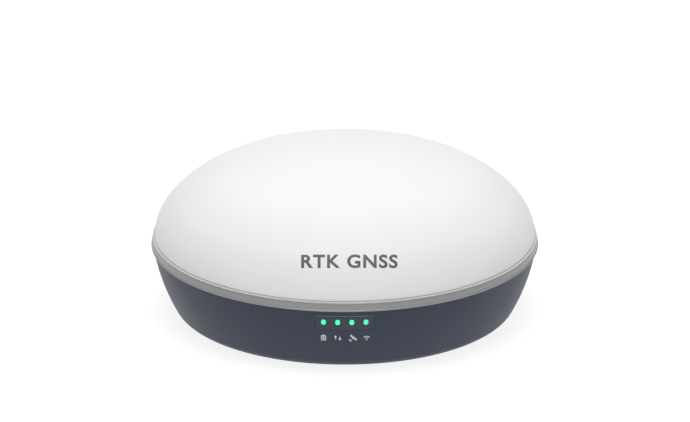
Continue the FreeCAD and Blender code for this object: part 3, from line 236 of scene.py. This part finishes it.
def thread_cut(z, angle, thread):
    """Depth of a right-hand V thread with flats, at a height and an angle."""
    phase = (z / thread.pitch - angle / math.tau) % 1.0
    groove = min(1.0, max(0.0, GROOVE_START - abs(2.0 * phase - 1.0) * GROOVE_SLOPE))
    fade = min(1.0, max(0.0, min(z - thread.low, thread.high - z) / (thread.pitch * FADE_TURNS)))
    return thread.side * thread.depth * groove * fade


def section_points(section, thread, layers):
    """The section's corners, with so many layers to each turn where the side is threaded."""
    points = []
    for corner, following in zip(section, section[1:] + section[-1:]):
        radius, z = corner[:2]
        threaded = len(corner) > 2
        points.append((radius, z, threaded))
        if threaded:
            rise = following[1] - z
            count = max(2, int(abs(rise) / thread.pitch * layers))
            points += [(radius, z + rise * i / count, True) for i in range(1, count)]
    return points


def lathe(name, section, steps, thread=None, layers=0):
    """Turn a section about Z. A corner marked THREADED starts a side that the thread cuts."""
    points = section_points(section, thread, layers)
    work = bmesh.new()
    columns = []
    for i in range(steps):
        angle = math.tau * i / steps
        column = []
        for radius, z, threaded in points:
            if radius == 0 and columns:
                column.append(columns[0][len(column)])
                continue
            reach = radius + (thread_cut(z, angle, thread) if threaded else 0.0)
            spot = (reach * MM * math.cos(angle), reach * MM * math.sin(angle), z * MM)
            column.append(work.verts.new(spot))
        columns.append(column)
    for i in range(steps):
        here, there = columns[i], columns[(i + 1) % steps]
        for j in range(len(points) - 1):
            corners = [here[j], there[j], there[j + 1], here[j + 1]]
            work.faces.new([vert for k, vert in enumerate(corners) if vert not in corners[:k]])
    bmesh.ops.recalc_face_normals(work, faces=work.faces[:])
    mesh = bpy.data.meshes.new(name)
    work.to_mesh(mesh)
    work.free()
    return mesh


def bored(mesh, holes):
    """The mesh less some upright rods, each (x, y, radius, low, high) in mm."""
    blank = bpy.data.objects.new("blank", mesh)
    bpy.context.scene.collection.objects.link(blank)
    tools = []
    for x, y, radius, low, high in holes:
        rod = lathe("tool", [(0, low), (radius, low), (radius, high), (0, high)], steps=48)
        tool = bpy.data.objects.new("tool", rod)
        tool.location = (x * MM, y * MM, 0)
        bpy.context.scene.collection.objects.link(tool)
        cut = blank.modifiers.new("bore", "BOOLEAN")
        cut.object = tool
        cut.operation = "DIFFERENCE"
        cut.solver = "EXACT"
        tools.append(tool)
    result = evaluated_mesh(blank)
    for spare in tools + [blank]:
        bpy.data.objects.remove(spare)
    return result


def add_pole_insert():
    """The brass insert with its 5/8 inch thread, 11 turns to the inch, and four screw seats."""
    thread = Thread(pitch=25.4 / 11, depth=1.15, low=1.1, high=18.0, side=1)
    hub = [(0, 22), (12, 22), (12, 2.5)]
    flange = [(19, 2.5), (19, 0.3), (18.7, 0)]
    bore = [(7.85, 0), (6.75, 1.1, THREADED), (6.75, 18.5), (0, 18.5)]
    screw_circle = 16
    seats = []
    for k in range(4):
        turn = math.radians(45 + 90 * k)
        x = screw_circle * math.cos(turn)
        y = screw_circle * math.sin(turn)
        head_recess = (x, y, 2.9, -1, 1.7)
        screw_hole = (x, y, 1.6, -2, 4)
        seats += [head_recess, screw_hole]
    blank = lathe("pole_insert_thread", hub + flange + bore, steps=120, thread=thread, layers=14)
    mesh = bored(blank, seats)
    piece = new_piece("pole_insert_thread", mesh, "brass")
    smooth_by_angle(mesh)
    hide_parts("pole_insert")


def add_radio_jack():
    """The threaded outer conductor of the radio jack, with its centre contact."""
    thread = Thread(pitch=0.907, depth=0.42, low=2.7, high=9.6, side=-1)
    contact = [(0, 3.0), (1.0, 3.0), (1.3, 3.4), (1.3, 8.0)]
    cavity = [(4.2, 8.0), (4.2, 2.5), (4.4, 2.3)]
    barrel = [(5.15, 2.3), (5.55, 2.7, THREADED), (5.55, 9.6), (5.2, 9.8), (5.2, 10.0)]
    flange = [(7.5, 10.0), (7.5, 11.0)]
    shank = [(4.75, 11.0), (4.75, 18.0)]
    tail = [(3.0, 18.0), (3.0, 20.0), (0, 20.0)]
    jack_y = -50.0
    section = contact + cavity + barrel + flange + shank + tail
    mesh = lathe("radio_jack_thread", section, steps=96, thread=thread, layers=12)
    for vertex in mesh.vertices:
        vertex.co.y += jack_y * MM
    piece = new_piece("radio_jack_thread", mesh, "brass")
    smooth_by_angle(mesh)
    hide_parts("radio_jack")


def add_band():
    """The band as a fine ring: a bead at its foot and a face that leans back towards the lip."""
    low, high = (corner[2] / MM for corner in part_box("mid_ring"))
    inner = 75.1
    foot = [(inner, low), (77.1, low), (77.1, low + 0.25), (77.4, low + 0.25)]
    stretch_steps = 12
    bead_x = 77.64
    bead_z = low + 0.61
    bead_radius = 0.36
    bead = []
    for k in range(stretch_steps + 1):
        turn = math.radians(-90 + 150 * k / stretch_steps)
        bead.append((bead_x + bead_radius * math.cos(turn), bead_z + bead_radius * math.sin(turn)))
    face_x = 77.70
    face_low = low + 0.98
    face_high = high - 0.12
    lean = 0.25
    bulge = 0.13
    face = []
    for k in range(stretch_steps + 1):
        t = k / stretch_steps
        face.append((face_x - lean * t + bulge * 4 * t * (1 - t), face_low + (face_high - face_low) * t))
    top = [(77.3, high), (inner, high), (inner, low)]
    mesh = lathe("band", foot + bead + face + top, steps=240)
    piece = new_piece("band", mesh, "band_plastic")
    smooth_by_angle(mesh)
    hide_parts("mid_ring")


# ---------------------------------------------------------------------------------------------
# Flat outlines, in mm
# ---------------------------------------------------------------------------------------------

def bar(x, y, wide, high, turn=0.0):
    """A rectangle about (x, y), turned by so many degrees."""
    c, s = math.cos(math.radians(turn)), math.sin(math.radians(turn))
    corners = [(-wide / 2, -high / 2), (wide / 2, -high / 2), (wide / 2, high / 2), (-wide / 2, high / 2)]
    return [(x + a * c - b * s, y + a * s + b * c) for a, b in corners]


def arc_band(x, y, inner, outer, start, finish, steps):
    """A curved strip about (x, y) between two radii and two angles."""
    angles = [math.radians(start + (finish - start) * i / steps) for i in range(steps + 1)]
    ring = [(x + outer * math.cos(a), y + outer * math.sin(a)) for a in angles]
    return ring + [(x + inner * math.cos(a), y + inner * math.sin(a)) for a in reversed(angles)]


def arc_bands(x, y, inner, outer, start, finish, pieces):
    """The same strip in short pieces, which stay nearly convex."""
    step = (finish - start) / pieces
    return [arc_band(x, y, inner, outer, start + step * i, start + step * (i + 1), 2) for i in range(pieces)]


def line_of_bars(length, high, pieces=12):
    """A straight line in short pieces, so that it can follow a curved wall."""
    step = length / pieces
    return [bar(-length / 2 + step * (i + 0.5), 0, step, high) for i in range(pieces)]


def battery_mark():
    cap = [bar(0, 1.25, 0.8, 0.34)]
    ends = [bar(0, y, 1.9, 0.26) for y in (0.98, -1.22)]
    sides = [bar(x, -0.12, 0.26, 2.0) for x in (-0.86, 0.86)]
    charge = [bar(0, y, 0.95, 0.34) for y in (0.45, -0.12, -0.69)]
    return cap + ends + sides + charge


def arrows_mark():
    up = [[(-1.45, 0.35), (-0.25, 0.35), (-0.85, 1.25)], bar(-0.85, -0.15, 0.36, 1.0)]
    down = [[(0.25, -0.35), (0.85, -1.25), (1.45, -0.35)], bar(0.85, 0.15, 0.36, 1.0)]
    return up + down


def satellite_mark():
    hull = [bar(0.35, 0.15, 0.9, 0.9, 45)]
    wings = [bar(-0.45, 0.95, 0.75, 1.0, 45), bar(1.15, -0.65, 0.75, 1.0, 45)]
    mast = [bar(-0.25, -0.45, 0.2, 0.8, -45)]
    return hull + wings + mast + arc_bands(-0.75, -0.95, 0.35, 0.7, 135, 315, 6)


def wireless_mark():
    dot = arc_bands(0, -0.95, 0.0, 0.30, 0, 360, 8)
    return dot + arc_bands(0, -0.95, 0.75, 1.02, 45, 135, 5) + arc_bands(0, -0.95, 1.45, 1.75, 45, 135, 6)


def power_mark():
    return arc_bands(0, 0, 1.35, 1.75, 125, 415, 16) + [bar(0, 1.15, 0.42, 1.7)]


def type_plate_lines():
    """A blank type plate: a frame and ruled lines, with no lettering."""
    level = [bar(0, y, 27.0, 0.3) for y in (-4.8, 4.8)]
    upright = [bar(x, 0, 0.3, 9.9) for x in (-13.5, 13.5)]
    ruled = [bar(-3.0, 2.4 - 2.4 * k, 18.0, 0.3) for k in range(3)]
    return level + upright + ruled


def grip_ridges():
    """Five level ridges for a fingertip, each a little narrower than the one below."""
    return [bar(0, 1.15 * k, 15.0 - 0.9 * k, 0.5) for k in range(-2, 3)]


# ---------------------------------------------------------------------------------------------
# Prints: flat outlines and words that are laid on the surface of a CAD node
# ---------------------------------------------------------------------------------------------

UP = (0, 0, 1)
FROM_FRONT = (0, 1, 0)
FROM_BEHIND = (0, -1, 0)
FROM_BELOW = (0, 0, 1)

# The words: how much heavier and wider apart the letters are than the font's own.
LETTER_WEIGHT = 0.026
LETTER_SPACING = 1.12
LETTER_CURVES = 6

# A print is cut into edges no longer than this, in mm, to follow the surface. Its sheet lies proud of
# the surface by this share of its thickness, and the thickness goes mostly downwards from there, so a
# fifth of it is sunk. The rays that find the surface start this far out, in metres.
LONGEST_EDGE = 0.8
SPLIT_PASSES = 3
PROUD = 0.6
RAY_START = 0.05


def surface_of(node):
    mesh = frame["nodes"][node].data
    return BVHTree.FromPolygons([v.co for v in mesh.vertices], [p.vertices for p in mesh.polygons])


def flat_mesh(name, shapes):
    """One mesh from plain polygons, each a list of (x, y) in mm."""
    mesh = bpy.data.meshes.new(name)
    verts, faces = [], []
    for shape in shapes:
        faces.append(tuple(range(len(verts), len(verts) + len(shape))))
        verts += [(x * MM, y * MM, 0) for x, y in shape]
    mesh.from_pydata(verts, [], faces)
    return mesh


def text_mesh(words, width, height):
    """Plain capitals as a flat mesh of the given size in mm, centred."""
    curve = bpy.data.curves.new("words", "FONT")
    curve.body = words
    curve.size = 1.0
    curve.offset = LETTER_WEIGHT
    curve.space_character = LETTER_SPACING
    curve.resolution_u = LETTER_CURVES
    holder = bpy.data.objects.new("words", curve)
    bpy.context.scene.collection.objects.link(holder)
    mesh = evaluated_mesh(holder)
    bpy.data.objects.remove(holder)
    bpy.data.curves.remove(curve)
    low = [min(v.co[i] for v in mesh.vertices) for i in (0, 1)]
    high = [max(v.co[i] for v in mesh.vertices) for i in (0, 1)]
    for vertex in mesh.vertices:
        across = (vertex.co.x - (low[0] + high[0]) / 2) / (high[0] - low[0])
        up = (vertex.co.y - (low[1] + high[1]) / 2) / (high[1] - low[1])
        vertex.co = Vector((across * width * MM, up * height * MM, 0))
    return mesh


def print_on(name, mesh, node, centre, toward, up, material, body="receiver", thick=0.06):
    """Lay a flat mesh on a CAD node by projecting it along toward; it stands proud as ink does."""
    toward = Vector(toward).normalized()
    up = (Vector(up) - toward * Vector(up).dot(toward)).normalized()
    right = toward.cross(up)
    surface = surface_of(node)
    work = bmesh.new()
    work.from_mesh(mesh)
    bmesh.ops.triangulate(work, faces=work.faces[:])
    for _ in range(SPLIT_PASSES):
        long_edges = [edge for edge in work.edges if edge.calc_length() > LONGEST_EDGE * MM]
        if long_edges:
            bmesh.ops.subdivide_edges(work, edges=long_edges, cuts=1)
            bmesh.ops.triangulate(work, faces=work.faces[:])
    for vertex in work.verts:
        start = Vector(centre) * MM + right * vertex.co.x + up * vertex.co.y - toward * RAY_START
        hit = surface.ray_cast(start, toward)[0]
        vertex.co = hit - toward * (thick * MM * PROUD)
    work.normal_update()
    if sum(face.normal.dot(toward) * face.calc_area() for face in work.faces) > 0:
        bmesh.ops.reverse_faces(work, faces=work.faces[:])
    work.to_mesh(mesh)
    work.free()
    mesh.validate()
    piece = new_piece(name, mesh, material, body)
    shell = piece.modifiers.new("ink", "SOLIDIFY")
    shell.thickness = thick * MM
    shell.offset = -PROUD


def print_shapes(name, shapes, node, centre, toward, up, material, **extras):
    print_on(name, flat_mesh(name, shapes), node, centre, toward, up, material, **extras)


def add_cover_grip():
    """The ridges stand off the cover by most of their 0.45 mm."""
    print_shapes("cover_grip", grip_ridges(), "port_cover", (0, 76.0, 17.3), FROM_BEHIND, UP,
                 "cover_rubber", body="port_cover", thick=0.45)


def add_panel_highlight():
    """The light line along the top of the status panel: a thin lip coloured lighter than the housing, a
    painted highlight.
    """
    print_shapes("panel_highlight", line_of_bars(23.1, 0.26), "housing", (0, -78.0, 26.62), FROM_FRONT, UP,
                 "panel_highlight_paint", thick=0.10)


def add_dome_print():
    """The words on the dome, laid on along a line that slopes down at 22 degrees."""
    slope = math.radians(22.0)
    print_on("dome_print", text_mesh("RTK GNSS", 37.8, 5.4), "radome", (1.85, -69.7, 47.05),
             (0, math.cos(slope), -math.sin(slope)), UP, "print_dark")


def add_type_plate_print():
    print_shapes("label_print", type_plate_lines(), "rating_label", (0, 45.0, 0), FROM_BELOW, (0, 1, 0),
                 "print_dark", thick=0.04)


def add_status_marks():
    """A mark under each of the four lamps, each with its distance from the middle."""
    marks = {"battery_mark": (-8.35, battery_mark()), "data_mark": (-2.75, arrows_mark()),
             "satellite_mark": (3.1, satellite_mark()), "wireless_mark": (8.6, wireless_mark())}
    for name, (across, shapes) in marks.items():
        print_shapes(name, shapes, "housing", (across, -74.0, 16.5), FROM_FRONT, UP, "print_light")


def add_power_mark():
    """The power symbol on the button, which faces out at 30 degrees from +X."""
    turn = math.radians(30)
    out = Vector((math.cos(turn), math.sin(turn), 0))
    face = out * 74.4 + Vector((0, 0, 15.0))
    print_shapes("power_mark", power_mark(), "power_button", tuple(face), tuple(-out), UP, "print_light",
                 body="power_button")


def dress_scene():
    dress_nodes()
    add_pole_insert()
    add_radio_jack()
    add_band()
    add_cover_grip()
    add_panel_highlight()
    add_dome_print()
    add_type_plate_print()
    add_status_marks()
    add_power_mark()


# ---------------------------------------------------------------------------------------------
# Camera, floor and light, in metres, watts and millimetres of lens
# ---------------------------------------------------------------------------------------------

# The camera looks along +Y and down. The middle of its picture is the object's middle, lifted a little.
CAMERA_ELEVATION = math.radians(20.2)
CAMERA_DISTANCE = 2.4216
CAMERA_LENS = 313.04
SENSOR_WIDTH = 36.0
OBJECT_MIDDLE = (0.0001, 0, 0.030)
PICTURE_LIFT = 0.01162

FLOOR_REACH = 6.0
FLOOR_GAP = 0.0002
FLOOR_LOOK = {"Base Color": (0.20, 0.20, 0.20, 1), "Roughness": 0.9, "Specular IOR Level": 0.1,
              "Emission Color": (1, 1, 1, 1), "Emission Strength": 0.86}

SKY_COLOR = (0.98, 0.985, 1.0, 1)
SKY_STRENGTH = 0.39

# Each soft light over the object: its place, its size and its power. All of them face the origin.
SOFT_LIGHTS = {
    "key": ((0, -0.95, 1.5), (1.0, 0.8), 0.8),
    "top": ((0, -0.5, 1.6), (0.9, 0.7), 17.0),
    "back": ((0, 1.0, 1.45), (1.8, 0.7), 11.8),
}


def add_camera():
    ahead = Vector((0, math.cos(CAMERA_ELEVATION), -math.sin(CAMERA_ELEVATION)))
    above = Vector((0, math.sin(CAMERA_ELEVATION), math.cos(CAMERA_ELEVATION)))
    target = Vector(OBJECT_MIDDLE) + above * PICTURE_LIFT
    data = bpy.data.cameras.new("camera")
    data.sensor_width = SENSOR_WIDTH
    data.lens = CAMERA_LENS
    data.clip_start = 0.1
    data.clip_end = 50.0
    camera = bpy.data.objects.new("camera", data)
    bpy.context.scene.collection.objects.link(camera)
    camera.location = target - ahead * CAMERA_DISTANCE
    camera.rotation_mode = "QUATERNION"
    camera.rotation_quaternion = ahead.to_track_quat("-Z", "Y")
    bpy.context.scene.camera = camera


def add_floor():
    mesh = bpy.data.meshes.new("floor")
    corners = [(x * FLOOR_REACH, y * FLOOR_REACH, 0) for x, y in ((-1, -1), (1, -1), (1, 1), (-1, 1))]
    mesh.from_pydata(corners, [], [(0, 1, 2, 3)])
    floor = bpy.data.objects.new("floor", mesh)
    bpy.context.scene.collection.objects.link(floor)
    floor.location.z = -FLOOR_GAP
    material = bpy.data.materials.new("floor")
    material.use_nodes = True
    shader = material.node_tree.nodes["Principled BSDF"]
    for socket, value in FLOOR_LOOK.items():
        shader.inputs[socket].default_value = value
    mesh.materials.append(material)


def add_sky():
    """A dim sky that is dark at the bottom and lightest straight above."""
    world = bpy.data.worlds.new("studio")
    bpy.context.scene.world = world
    world.use_nodes = True
    tree = world.node_tree
    link = tree.links.new
    sky = tree.nodes["Background"]
    sky.inputs["Color"].default_value = SKY_COLOR
    direction = add_node(tree, "ShaderNodeTexCoord")
    parts = add_node(tree, "ShaderNodeSeparateXYZ")
    ramp = add_node(tree, "ShaderNodeMapRange", {"From Min": -1.0, "From Max": 1.0,
                                                 "To Min": 0.0, "To Max": SKY_STRENGTH})
    link(direction.outputs["Generated"], parts.inputs[0])
    link(parts.outputs["Z"], ramp.inputs["Value"])
    link(ramp.outputs["Result"], sky.inputs["Strength"])


def add_soft_light(name, place, size, power):
    data = bpy.data.lights.new(name, "AREA")
    data.shape = "RECTANGLE"
    data.size, data.size_y = size
    data.energy = power
    light = bpy.data.objects.new(name, data)
    bpy.context.scene.collection.objects.link(light)
    light.location = place
    light.rotation_mode = "QUATERNION"
    light.rotation_quaternion = (-Vector(place)).to_track_quat("-Z", "Y")


def add_light():
    add_sky()
    for name, (place, size, power) in SOFT_LIGHTS.items():
        add_soft_light(name, place, size, power)
    bpy.context.scene.view_settings.view_transform = "Standard"
    bpy.context.scene.view_settings.look = "None"


dress_scene()
add_camera()
add_floor()
add_light()
